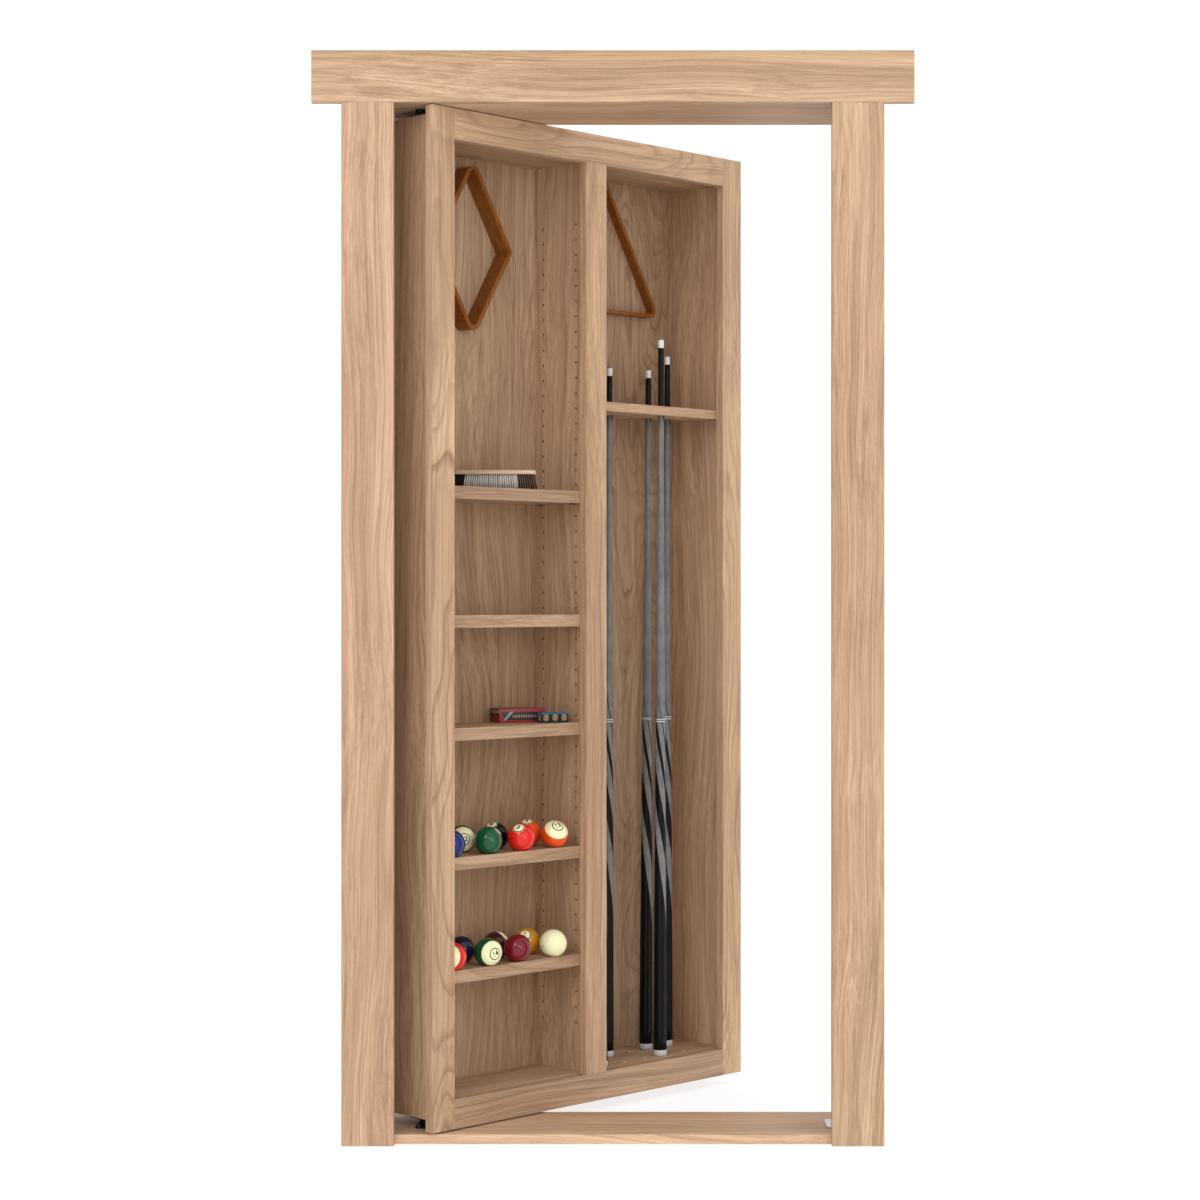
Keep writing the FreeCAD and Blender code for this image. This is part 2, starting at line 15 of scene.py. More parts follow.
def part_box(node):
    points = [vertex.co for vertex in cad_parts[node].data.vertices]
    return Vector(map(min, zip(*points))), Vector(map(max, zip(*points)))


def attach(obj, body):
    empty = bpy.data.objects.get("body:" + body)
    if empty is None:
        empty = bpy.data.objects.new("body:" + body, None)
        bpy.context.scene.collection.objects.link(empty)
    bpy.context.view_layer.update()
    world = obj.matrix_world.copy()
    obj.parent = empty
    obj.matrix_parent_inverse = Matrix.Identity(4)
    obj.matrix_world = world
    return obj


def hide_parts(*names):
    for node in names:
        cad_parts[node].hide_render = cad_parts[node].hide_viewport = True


MM = 0.001

# ---- what the CAD fixes -----------------------------------------------------------------
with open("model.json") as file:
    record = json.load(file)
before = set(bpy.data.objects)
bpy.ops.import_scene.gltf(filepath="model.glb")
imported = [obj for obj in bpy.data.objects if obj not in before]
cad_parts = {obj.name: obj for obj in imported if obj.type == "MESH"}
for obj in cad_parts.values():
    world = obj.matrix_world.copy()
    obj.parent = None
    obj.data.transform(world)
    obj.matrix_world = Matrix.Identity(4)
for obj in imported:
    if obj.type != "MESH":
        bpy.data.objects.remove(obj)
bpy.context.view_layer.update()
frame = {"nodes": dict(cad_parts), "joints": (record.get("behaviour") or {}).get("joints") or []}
nodes = frame["nodes"]
pivot_joint = next(j for j in frame["joints"] if j["name"] == "door_pivot")
PIVOT = Vector(pivot_joint["pos_m"])
PIVOT_U, PIVOT_V = 52 * MM, 79 * MM
DOOR_TURN = math.radians(45)


def door_matrix():
    """Door coordinates to the row frame, at rest."""
    corner = Matrix.Translation((-PIVOT_U, -PIVOT_V, 0))
    axis = Matrix.Translation((PIVOT.x, PIVOT.y, 0))
    return axis @ Matrix.Rotation(DOOR_TURN, 4, "Z") @ corner


DOOR = door_matrix()


def door_box(node):
    """Lowest and highest corner of a CAD node in door coordinates."""
    back = DOOR.inverted()
    points = [back @ v.co for v in nodes[node].data.vertices]
    low = Vector([min(p[i] for p in points) for i in range(3)])
    high = Vector([max(p[i] for p in points) for i in range(3)])
    return low, high


# ---- camera, light and floor ------------------------------------------------------------
# The camera looks straight at the doorway from half its height.
CAMERA_PLACE = (0, -4.916, 1.063)
CAMERA_LENS = 73.86
CAMERA_SENSOR = 36
CAMERA_SHIFT_X = -0.0107
CAMERA_CLIP = 60

WORLD_STRENGTH = 1.06
# name, place, target, size, power
LIGHTS = (
    ("key", (-1.9, -4.4, 3.9), (0, 0, 1.0), (1.6, 1.6), 40),
    ("fill", (2.6, -3.8, 1.4), (0, 0.2, 0.9), (1.4, 2.0), 21),
    ("front", (0.9, -4.4, 2.5), (-0.2, 0, 0.8), (1.3, 0.9), 14),
)

FLOOR_HALF = 14
FLOOR_DROP = 0.5 * MM
FLOOR_DARK, FLOOR_PALE = (0.30, 0.30, 0.30), (0.32, 0.32, 0.32)
FLOOR_GLOW = 0.74   # keeps the ground white and nearly free of shadow


def make_camera():
    data = bpy.data.cameras.new("camera")
    data.lens = CAMERA_LENS
    data.sensor_width = CAMERA_SENSOR
    data.shift_x = CAMERA_SHIFT_X
    data.clip_end = CAMERA_CLIP
    camera = bpy.data.objects.new("camera", data)
    camera.location = CAMERA_PLACE
    camera.rotation_euler = (math.radians(90), 0, 0)
    bpy.context.scene.collection.objects.link(camera)
    bpy.context.scene.camera = camera


def area_light(name, place, target, size, power):
    data = bpy.data.lights.new(name, "AREA")
    data.shape = "RECTANGLE"
    data.size, data.size_y = size
    data.energy = power
    light = bpy.data.objects.new(name, data)
    light.location = place
    light.rotation_euler = (Vector(target) - Vector(place)).to_track_quat("-Z", "Y").to_euler()
    bpy.context.scene.collection.objects.link(light)


def make_light():
    world = bpy.data.worlds.new("studio")
    world.use_nodes = True
    background = world.node_tree.nodes["Background"]
    background.inputs["Color"].default_value = (1, 1, 1, 1)
    background.inputs["Strength"].default_value = WORLD_STRENGTH
    bpy.context.scene.world = world
    bpy.context.scene.view_settings.view_transform = "Standard"
    for light in LIGHTS:
        area_light(*light)


def make_floor():
    half = FLOOR_HALF
    mesh = bpy.data.meshes.new("floor")
    mesh.from_pydata([(-half, -half, 0), (half, -half, 0), (half, half, 0), (-half, half, 0)],
                     [], [(0, 1, 2, 3)])
    floor = bpy.data.objects.new("floor", mesh)
    bpy.context.scene.collection.objects.link(floor)
    floor.location.z = -FLOOR_DROP
    mesh.materials.append(material_floor())


# ---- node helpers -----------------------------------------------------------------------
MIX_A, MIX_B, MIX_RESULT = 6, 7, 2   # the colour sockets of a Mix node


def rgba(colour):
    """A socket as it is, a plain colour with full alpha."""
    return colour if isinstance(colour, bpy.types.NodeSocket) else (*colour, 1)


class Graph:
    """A material's node tree, with short calls for the nodes that the materials use."""

    def __init__(self, name):
        self.material = bpy.data.materials.new(name)
        self.material.use_nodes = True
        self.tree = self.material.node_tree
        self.shader = self.tree.nodes["Principled BSDF"]

    def node(self, kind, **settings):
        made = self.tree.nodes.new("ShaderNode" + kind)
        for key, value in settings.items():
            setattr(made, key, value)
        return made

    def feed(self, socket, value):
        if isinstance(value, bpy.types.NodeSocket):
            self.tree.links.new(value, socket)
        else:
            socket.default_value = value

    def coords(self):
        return self.node("TexCoord").outputs["Object"]

    def mapping(self, vector, location=(0, 0, 0), rotation=(0, 0, 0), scale=(1, 1, 1)):
        made = self.node("Mapping")
        self.feed(made.inputs["Vector"], vector)
        made.inputs["Location"].default_value = location
        made.inputs["Rotation"].default_value = rotation
        made.inputs["Scale"].default_value = scale
        return made.outputs["Vector"]

    def noise(self, vector, scale, detail=3.0, rough=0.5):
        made = self.node("TexNoise")
        self.feed(made.inputs["Vector"], vector)
        made.inputs["Scale"].default_value = scale
        made.inputs["Detail"].default_value = detail
        made.inputs["Roughness"].default_value = rough
        return made.outputs["Fac"]

    def noise_vector(self, vector, scale, detail=2.0):
        made = self.node("TexNoise")
        self.feed(made.inputs["Vector"], vector)
        made.inputs["Scale"].default_value = scale
        made.inputs["Detail"].default_value = detail
        return made.outputs["Color"]

    def math(self, operation, a, b=0.0, c=0.0):
        made = self.node("Math", operation=operation)
        self.feed(made.inputs[0], a)
        self.feed(made.inputs[1], b)
        self.feed(made.inputs[2], c)
        return made.outputs[0]

    def hypot(self, a, b):
        return self.math("SQRT", self.math("ADD", self.math("MULTIPLY", a, a), self.math("MULTIPLY", b, b)))

    def vmath(self, operation, a, b=(0, 0, 0)):
        made = self.node("VectorMath", operation=operation)
        self.feed(made.inputs[0], a)
        self.feed(made.inputs[1], b)
        return made.outputs["Vector"]

    def scale_vector(self, a, factor):
        made = self.node("VectorMath", operation="SCALE")
        self.feed(made.inputs[0], a)
        made.inputs["Scale"].default_value = factor
        return made.outputs["Vector"]

    def split(self, vector):
        made = self.node("SeparateXYZ")
        self.feed(made.inputs[0], vector)
        return made.outputs

    def join(self, x, y, z):
        made = self.node("CombineXYZ")
        self.feed(made.inputs[0], x)
        self.feed(made.inputs[1], y)
        self.feed(made.inputs[2], z)
        return made.outputs[0]

    def ramp(self, value, stops):
        """Grey ramp through (position, level) stops."""
        made = self.node("ValToRGB")
        self.feed(made.inputs["Fac"], value)
        elements = made.color_ramp.elements
        while len(elements) < len(stops):
            elements.new(0.5)
        for element, (place, level) in zip(elements, stops):
            element.position = place
            element.color = (level, level, level, 1)
        return made.outputs["Color"]

    def band(self, value, low, high):
        """1 where low < value < high."""
        rise = self.math("GREATER_THAN", value, low)
        fall = self.math("LESS_THAN", value, high)
        return self.math("MULTIPLY", rise, fall)

    def span(self, value, low, high, to_low=0.0, to_high=1.0):
        """The range low to high, stretched to another range and clamped there."""
        made = self.node("MapRange", clamp=True)
        self.feed(made.inputs["Value"], value)
        made.inputs["From Min"].default_value = low
        made.inputs["From Max"].default_value = high
        made.inputs["To Min"].default_value = to_low
        made.inputs["To Max"].default_value = to_high
        return made.outputs["Result"]

    def mix(self, factor, a, b):
        made = self.node("Mix", data_type="RGBA")
        self.feed(made.inputs["Factor"], factor)
        self.feed(made.inputs[MIX_A], rgba(a))
        self.feed(made.inputs[MIX_B], rgba(b))
        return made.outputs[MIX_RESULT]

    def bump(self, height, strength, distance):
        made = self.node("Bump")
        self.feed(made.inputs["Height"], height)
        made.inputs["Strength"].default_value = strength
        made.inputs["Distance"].default_value = distance
        self.feed(self.shader.inputs["Normal"], made.outputs["Normal"])

    def finish(self, colour, rough, metallic=0.0, coat=0.0, coat_rough=0.1, specular=0.5):
        self.feed(self.shader.inputs["Base Color"], colour)
        self.feed(self.shader.inputs["Roughness"], rough)
        self.shader.inputs["Metallic"].default_value = metallic
        self.shader.inputs["Coat Weight"].default_value = coat
        self.shader.inputs["Coat Roughness"].default_value = coat_rough
        self.shader.inputs["Specular IOR Level"].default_value = specular
        return self.material


def material_floor():
    g = Graph("studio_floor")
    tone = g.noise(g.coords(), 1.3, 2.0)
    colour = g.mix(tone, FLOOR_DARK, FLOOR_PALE)
    g.feed(g.shader.inputs["Emission Color"], (1, 1, 1, 1))
    g.feed(g.shader.inputs["Emission Strength"], FLOOR_GLOW)
    return g.finish(colour, 0.7, specular=0.05)


# ---- wood -------------------------------------------------------------------------------
GRAIN_TURN = {"z": (0, 0, 0), "x": (0, math.radians(-90), 0)}
OAK = dict(light=(0.75, 0.515, 0.325), mid=(0.520, 0.335, 0.205),
           dark=(0.245, 0.135, 0.077), blush=(0.57, 0.340, 0.225))
BEECH = dict(light=(0.74, 0.58, 0.42), mid=(0.60, 0.44, 0.30),
             dark=(0.34, 0.22, 0.14), blush=(0.62, 0.42, 0.30))
AMBER = dict(light=(0.34, 0.125, 0.022), mid=(0.26, 0.088, 0.013),
             dark=(0.13, 0.036, 0.005), blush=(0.30, 0.09, 0.015))
BRIGHTEST = 0.9
RINGS_PER_METRE = 235.0
# One growth ring from its pale start to the dark late wood: (position, darkness).
RING_STOPS = ((0.0, 0.04), (0.66, 0.12), (0.91, 1.0), (1.0, 0.0))
# Noise drawn out along the grain: (scale across, across, along), detail, roughness.
LAYERS = {
    "cloud": ((9.0, 9.0, 1.0), 3.0, 0.55),
    "fibre": ((400, 400, 3.4), 4.0, 0.66),
    "streak": ((120, 120, 0.8), 3.0, 0.62),
    "pale": ((160, 160, 1.0), 3.0, 0.6),
    "fleck": ((420, 420, 110), 3.0, 0.6),
    "pore": ((800, 800, 40), 2.0, 0.5),
}
# How far each layer pulls the tone of the board.
PULL = dict(blush=0.34, streak=0.60, pale=0.55, figure=0.88, fibre=0.42, fleck=0.14, knot=0.75, pore=0.46)


def growth_rings(g, along, per_metre, wild):
    """Grain coordinates bent by the tree's uneven growth, and the ring count across the board."""
    middle = (0.5, 0.5, 0.5)
    wander = g.noise_vector(g.mapping(along, scale=(1.5, 1.5, 0.42)), 1.9)
    wander = g.scale_vector(g.vmath("SUBTRACT", wander, middle), 0.30 * wild)
    sway = g.noise_vector(g.mapping(along, scale=(5.0, 5.0, 1.3)), 2.2)
    sway = g.scale_vector(g.vmath("SUBTRACT", sway, middle), 0.030 * wild)
    bent = g.vmath("ADD", g.vmath("ADD", along, wander), sway)
    x, y, z = g.split(bent)
    count = g.math("MULTIPLY", g.hypot(x, y), per_metre)
    uneven = g.noise(g.join(g.math("MULTIPLY", count, 0.13), g.math("MULTIPLY", z, 0.4), 0.0), 1.0, 2.0)
    count = g.math("ADD", count, g.math("MULTIPLY", uneven, 7.0))
    return bent, count


def knots(g, along):
    """Sparse small knots: how near a knot's middle a point is, 1 at the middle."""
    made = g.node("TexVoronoi", feature="F1")
    g.feed(made.inputs["Vector"], g.mapping(along, scale=(5.5, 5.5, 1.9)))
    made.inputs["Scale"].default_value = 1.0
    made.inputs["Randomness"].default_value = 1.0
    return g.span(made.outputs["Distance"], 0.0, 0.085, 1.0, 0.0)


def ring_figure(g, along, count):
    """Dark lines of late wood: faint ones on every ring, bold ones on a few."""
    ring = g.math("FRACT", count)
    which = g.node("TexWhiteNoise", noise_dimensions="1D")
    g.feed(which.inputs["W"], g.math("FLOOR", count))
    luck = which.outputs["Value"]
    line = g.ramp(ring, RING_STOPS)
    patchy = g.span(g.noise(g.mapping(along, scale=(7, 7, 1.6)), 1.0, 3.0), 0.36, 0.64)
    faint = g.math("MULTIPLY", line, g.span(patchy, 0.0, 1.0, 0.24, 0.74))
    bold = g.math("MULTIPLY", line, g.span(luck, 0.74, 1.0, 0.0, 1.0))
    where = g.span(g.noise(g.mapping(along, scale=(5, 5, 1.1)), 1.0, 2.0), 0.36, 0.58)
    bold = g.math("MULTIPLY", bold, where)
    return g.math("MAXIMUM", faint, bold)


def layer(g, vector, name, location=(0, 0, 0)):
    scale, detail, rough = LAYERS[name]
    return g.noise(g.mapping(vector, location=location, scale=scale), 1.0, detail, rough)


def material_wood(name, grain, seed, tones=OAK, on_door=True, rings=1.0, gloss=0.46, tone_and_shade_gain=1.0, wild=1.0):
    """Flat-sawn board: growth rings cut lengthwise, bands of tone that follow them, fibres, pores."""
    g = Graph(name)
    # Each tone is scaled by the board's paleness, which also carries painted shade and painted light.
    light, mid, dark, blush = (tuple(min(BRIGHTEST, c * tone_and_shade_gain) for c in tones[key])
                               for key in ("light", "mid", "dark", "blush"))
    place = g.coords()
    if on_door:
        place = g.mapping(place, rotation=(0, 0, -DOOR_TURN))
    rng = random.Random(seed)
    shift = tuple(rng.uniform(-4, 4) for _ in range(3))
    along = g.mapping(place, location=shift, rotation=GRAIN_TURN[grain])
    knot = knots(g, along)
    bent, count = growth_rings(g, along, RINGS_PER_METRE * rings, wild)
    count = g.math("ADD", count, g.math("MULTIPLY", knot, 2.2))
    _, _, z = g.split(bent)
    figure = ring_figure(g, along, count)
    band = g.noise(g.join(g.math("MULTIPLY", count, 0.20), g.math("MULTIPLY", z, 0.6), 3.7), 1.0, 3.0, 0.6)
    cloud = layer(g, along, "cloud")
    fibre = layer(g, bent, "fibre")
    streak = layer(g, bent, "streak")
    pale = layer(g, bent, "pale", (9, 4, 2))
    fleck = layer(g, bent, "fleck")
    pore_field = layer(g, bent, "pore")
    pore = g.math("MULTIPLY", g.span(pore_field, 0.60, 0.72), g.span(fibre, 0.40, 0.60))

    broad = g.math("ADD", g.math("MULTIPLY", band, 0.6), g.math("MULTIPLY", cloud, 0.4))
    tone = g.mix(g.span(broad, 0.41, 0.59), light, mid)
    warm = g.noise(g.mapping(along, scale=(7.0, 7.0, 0.8)), 1.7, 2.0)
    tone = g.mix(g.span(warm, 0.38, 0.62, 0.0, PULL["blush"]), tone, blush)
    tone = g.mix(g.span(streak, 0.44, 0.72, 0.0, PULL["streak"]), tone, dark)
    tone = g.mix(g.span(pale, 0.50, 0.74, 0.0, PULL["pale"]), tone, light)
    tone = g.mix(g.math("MULTIPLY", figure, PULL["figure"]), tone, dark)
    tone = g.mix(g.span(fibre, 0.40, 0.68, 0.0, PULL["fibre"]), tone, dark)
    tone = g.mix(g.span(fleck, 0.45, 0.75, 0.0, PULL["fleck"]), tone, light)
    tone = g.mix(g.math("MULTIPLY", g.math("POWER", knot, 1.6), PULL["knot"]), tone, dark)
    colour = g.mix(g.math("MULTIPLY", pore, PULL["pore"]), tone, dark)
    rough = g.span(g.math("ADD", figure, fibre), 0.2, 1.6, gloss, gloss + 0.16)
    height = g.math("SUBTRACT", g.math("MULTIPLY", fibre, 0.35), pore)
    height = g.math("SUBTRACT", height, g.math("MULTIPLY", figure, 0.25))
    g.bump(height, 0.30, 0.4 * MM)
    return g.finish(colour, rough, specular=0.18)


BEVEL_ANGLE = math.radians(35)


def bevel(obj, width, segments=2):
    made = obj.modifiers.new("eased edges", "BEVEL")
    made.width = width
    made.segments = segments
    made.limit_method = "ANGLE"
    made.angle_limit = BEVEL_ANGLE
    made.harden_normals = True
    for polygon in obj.data.polygons:
        polygon.use_smooth = True


def dress(node, material):
    """Give every slot of a CAD node this material."""
    mesh = nodes[node].data
    if not mesh.materials:
        mesh.materials.append(material)
    for index in range(len(mesh.materials)):
        mesh.materials[index] = material


# node: (grain, on the door, how pale the board is with painted shade and light, how far its grain wanders)
# The paleness mixes the board's own tone with painted shade and light: boards deep in the cabinet, such as
# the back panel and the shelves, are darkened as painted shade, and the right side and the sill are
# brightened as painted light.
BOARDS = {
    "casing_left": ("z", False, 0.99, 0.55),
    "casing_right": ("z", False, 0.98, 0.60),
    "casing_head": ("x", False, 0.97, 0.45),
    "jamb_left": ("z", False, 1.0, 0.6),
    "jamb_right": ("z", False, 1.0, 0.6),
    "jamb_head": ("x", False, 0.96, 0.5),
    "sill": ("x", False, 1.06, 0.5),
    "stile_left": ("z", True, 0.96, 0.45),
    "stile_centre": ("z", True, 0.98, 0.45),
    "stile_right": ("z", True, 1.0, 0.45),
    "rail_top": ("x", True, 0.99, 0.45),
    "rail_bottom": ("x", True, 0.80, 0.45),
    "side_left": ("z", True, 0.97, 0.8),
    "side_right": ("z", True, 1.1, 0.7),
    "divider": ("z", True, 0.93, 0.8),
    "back_panel": ("z", True, 0.79, 0.75),
    "top_panel": ("x", True, 0.89, 0.6),
    "bottom_panel": ("x", True, 1.0, 0.5),
    "pivot_block_top": ("x", True, 0.9, 0.5),
    "pivot_block_bottom": ("x", True, 0.9, 0.5),
    "shelf_1": ("x", True, 0.79, 0.5),
    "shelf_2": ("x", True, 0.85, 0.5),
    "shelf_3": ("x", True, 0.84, 0.5),
    "shelf_4": ("x", True, 0.84, 0.5),
    "shelf_5": ("x", True, 0.84, 0.5),
    "cue_shelf": ("x", True, 0.98, 0.5),
}
FIRST_SEED = 11
EASED = 0.8 * MM
EASED_DRILLED = 0.3 * MM   # the edges of the pin holes are eased too
DRILLED = ("side_left", "divider")


def dress_boards():
    for seed, (node, (grain, on_door, tone_and_shade_gain, wild)) in enumerate(sorted(BOARDS.items()), FIRST_SEED):
        dress(node, material_wood("wood_" + node, grain, seed, OAK, on_door, tone_and_shade_gain=tone_and_shade_gain, wild=wild))
        bevel(nodes[node], EASED_DRILLED if node in DRILLED else EASED)


# ---- metal ------------------------------------------------------------------------------
# name: (colour, roughness, turned on a lathe)
METALS = {
    "satin_steel": ((0.60, 0.60, 0.61), 0.34, False),
    "screw_steel": ((0.34, 0.32, 0.30), 0.38, False),
    "bearing_bronze": ((0.62, 0.42, 0.20), 0.36, True),
    "nickel_pot": ((0.74, 0.74, 0.75), 0.20, True),
    "blackened_steel": ((0.030, 0.024, 0.019), 0.50, False),
    "support_bronze": ((0.22, 0.125, 0.070), 0.42, False),
}
# metal, its nodes, how wide their edges are eased, in how many segments
METAL_PARTS = (
    ("blackened_steel", ("pivot_floor", "pivot_head"), 0.5 * MM, 2),
    ("blackened_steel", ("pivot_socket_top", "pivot_socket_bottom"), 0.5 * MM, 2),
    ("satin_steel", ("catch_plate", "catch_stud"), 0.5 * MM, 2),
    ("screw_steel", ("frame_screws", "door_screws"), 0.2 * MM, 1),
    ("support_bronze", ("shelf_supports",), 0.2 * MM, 1),
    ("bearing_bronze", ("thrust_washer",), 0.3 * MM, 2),
    ("nickel_pot", ("catch_magnet",), 0.4 * MM, 2),
)
FINE, COARSE = 1400, 60   # noise scale across and along the brush marks


def material_metal(name, colour, rough, turned):
    g = Graph(name)
    place = g.coords()
    scale = (COARSE, COARSE, FINE) if turned else (FINE, COARSE, COARSE)
    brush = g.noise(g.mapping(place, scale=scale), 1.0, 3.0)
    patch = g.noise(place, 90, 3.0)
    tint = g.mix(g.span(patch, 0.3, 0.7), colour, tuple(c * 0.78 for c in colour))
    tint = g.mix(g.math("MULTIPLY", g.span(brush, 0.4, 0.7), 0.25), tint, tuple(c * 0.6 for c in colour))
    g.bump(brush, 0.12, 0.2 * MM)
    return g.finish(tint, g.span(brush, 0.2, 0.8, rough - 0.06, rough + 0.12), metallic=1.0)


def dress_metal():
    made = {name: material_metal(name, *recipe) for name, recipe in METALS.items()}
    for metal, parts, width, segments in METAL_PARTS:
        for node in parts:
            dress(node, made[metal])
            bevel(nodes[node], width, segments)


# ---- new meshes -------------------------------------------------------------------------
def add_object(name, bm, material, matrix):
    mesh = bpy.data.meshes.new(name)
    bm.to_mesh(mesh)
    bm.free()
    for polygon in mesh.polygons:
        polygon.use_smooth = True
    mesh.materials.append(material)
    obj = bpy.data.objects.new(name, mesh)
    obj.matrix_world = matrix
    bpy.context.scene.collection.objects.link(obj)
    return obj


def lathe(profile, steps=48):
    """Closed solid of revolution about z from (radius, z) points, first and last on the axis."""
    bm = bmesh.new()
    rings = []
    for radius, z in profile:
        if radius < 1e-7:
            rings.append([bm.verts.new((0, 0, z))])
            continue
        ring = [bm.verts.new((radius * math.cos(2 * math.pi * i / steps),
                              radius * math.sin(2 * math.pi * i / steps), z)) for i in range(steps)]
        rings.append(ring)
    for low, high in zip(rings, rings[1:]):
        for i in range(steps):
            j = (i + 1) % steps
            if len(low) == 1 and len(high) == 1:
                continue
            if len(low) == 1:
                bm.faces.new((low[0], high[j], high[i]))
            elif len(high) == 1:
                bm.faces.new((low[i], low[j], high[0]))
            else:
                bm.faces.new((low[i], low[j], high[j], high[i]))
    bmesh.ops.recalc_face_normals(bm, faces=bm.faces)
    return bm


# ---- balls ------------------------------------------------------------------------------
BALL_R = 28.575 * MM
BALL_SINK = 2.5 * MM
YELLOW, BLUE, RED = (0.66, 0.27, 0.012), (0.006, 0.018, 0.16), (0.80, 0.016, 0.010)
PURPLE, ORANGE, GREEN = (0.012, 0.010, 0.045), (0.86, 0.085, 0.006), (0.003, 0.085, 0.030)
MAROON, BLACK, IVORY = (0.20, 0.006, 0.014), (0.004, 0.003, 0.003), (0.95, 0.93, 0.56)
# Ball 15 sits at the back of its shelf and gets a darker maroon than ball 7: painted shade.
MAROON_IN_PAINTED_SHADE = (0.070, 0.008, 0.008)
BALL_COLOURS = {1: YELLOW, 2: BLUE, 3: RED, 4: PURPLE, 5: ORANGE, 6: GREEN, 7: MAROON, 8: BLACK}
STRIPE_HALF = 14.5 * MM
DISC_R = 12.6 * MM
RING_INNER, RING_OUTER = 10.3 * MM, 12.2 * MM
CUE_BALL_SPOT_R = 1.6 * MM
DIGIT_SIZE = 14 * MM
DIGIT_FATTEN = 0.6 * MM
DIGIT_LIFT = 0.06 * MM
LONGEST_EDGE = 1.5 * MM   # longer edges of the digits are cut up, to follow the sphere


def material_ball(name, number):
    """Polished resin. The number disc sits at the ball's +z pole, a stripe runs round the middle."""
    g = Graph(name)
    place = g.coords()
    x, y, z = g.split(place)
    cloud = g.noise(place, 60, 2.0)
    ivory = g.mix(cloud, IVORY, tuple(c * 0.95 for c in IVORY))
    if number == 0:
        spot = g.math("LESS_THAN", g.hypot(x, y), CUE_BALL_SPOT_R)
        spot = g.math("MULTIPLY", spot, g.math("GREATER_THAN", z, 0))
        colour = g.mix(spot, ivory, (0.05, 0.02, 0.02))
    else:
        # Ball 15 takes the darker maroon, painted shade for its place at the back of the shelf.
        base = MAROON_IN_PAINTED_SHADE if number == 15 else BALL_COLOURS[number if number < 9 else number - 8]
        body = g.mix(cloud, base, tuple(c * 0.85 for c in base))
        if number > 8:
            stripe = g.math("LESS_THAN", g.math("ABSOLUTE", z), STRIPE_HALF)
            body = g.mix(stripe, ivory, body)
        spread = g.hypot(x, y)
        facing = g.math("GREATER_THAN", z, 10 * MM)
        disc = g.math("MULTIPLY", g.math("LESS_THAN", spread, DISC_R), facing)
        ring = g.math("MULTIPLY", g.band(spread, RING_INNER, RING_OUTER), facing)
        colour = g.mix(disc, body, ivory)
        colour = g.mix(ring, colour, (0.02, 0.02, 0.02))
    scuff = g.noise(place, 500, 3.0)
    rough = g.span(scuff, 0.3, 0.8, 0.04, 0.09)
    return g.finish(colour, rough, coat=0.26, coat_rough=0.03, specular=0.30)


def number_mesh(number):
    """The ball's number as thin print that follows the sphere, round its +z pole."""
    text = bpy.data.curves.new("digits", "FONT")
    text.body = str(number)
    text.size = DIGIT_SIZE
    text.offset = DIGIT_FATTEN
    text.align_x = "CENTER"
    text.align_y = "CENTER"
    text.resolution_u = 4
    holder = bpy.data.objects.new("digits", text)
    bpy.context.scene.collection.objects.link(holder)
    bpy.context.view_layer.update()
    flat = bpy.data.meshes.new_from_object(holder.evaluated_get(bpy.context.evaluated_depsgraph_get()))
    bpy.data.objects.remove(holder)
    bm = bmesh.new()
    bm.from_mesh(flat)
    bmesh.ops.triangulate(bm, faces=bm.faces)
    long_edges = [e for e in bm.edges if e.calc_length() > LONGEST_EDGE]
    bmesh.ops.subdivide_edges(bm, edges=long_edges, cuts=3)
    reach = BALL_R + DIGIT_LIFT
    for vertex in bm.verts:
        x, y = vertex.co.x, vertex.co.y
        vertex.co = Vector((x, y, math.sqrt(reach * reach - x * x - y * y)))
    return bm


def material_print():
    g = Graph("number_print")
    colour = g.mix(g.noise(g.coords(), 700, 2.0), (0.012, 0.012, 0.012), (0.03, 0.03, 0.03))
    return g.finish(colour, 0.15)


def aim(direction, roll):
    """Rotation that turns +z to the direction, then rolls about it."""
    turn = Vector(direction).to_track_quat("Z", "Y").to_matrix().to_4x4()
    return turn @ Matrix.Rotation(roll, 4, "Z")


# number, shelf, u, v (mm), where the disc looks (row frame), roll in degrees
BALLS = (
    (2, 4, 82.0, 38.0, (-0.6, 0.6, 0.5), 10),
    (6, 4, 182.0, 38.0, (0.70, 0.05, 0.70), 0),
    (3, 4, 272.0, 38.0, (-0.17, -0.59, 0.79), -15),
    (13, 4, 366.0, 38.0, (0.27, -0.65, 0.71), 20),
    (10, 4, 72.0, 97.0, (0.2, 0.5, 0.8), 30),
    (12, 4, 162.6, 97.0, (0.26, -0.96, 0.09), 0),
    (8, 4, 252.7, 97.0, (-0.20, -0.38, 0.90), 20),
    (5, 4, 345.1, 97.0, (-0.04, -0.33, 0.94), 0),
    (11, 5, 84.3, 36.0, (-0.39, -0.90, 0.15), 60),
    (14, 5, 179.4, 36.0, (0.57, -0.82, -0.02), 25),
    (7, 5, 259.9, 36.0, (0.1, 0.7, -0.7), 0),
    (0, 5, 360.3, 36.0, (-0.74, -0.65, -0.16), 0),
    (9, 5, 72.0, 97.0, (0.1, 0.6, 0.8), 70),
    (4, 5, 160.7, 97.0, (0.2, 0.9, -0.2), 0),
    (15, 5, 256.3, 97.0, (0.68, 0.50, 0.54), 75),
    (1, 5, 341.7, 97.0, (-0.08, -0.80, 0.60), 10),
)


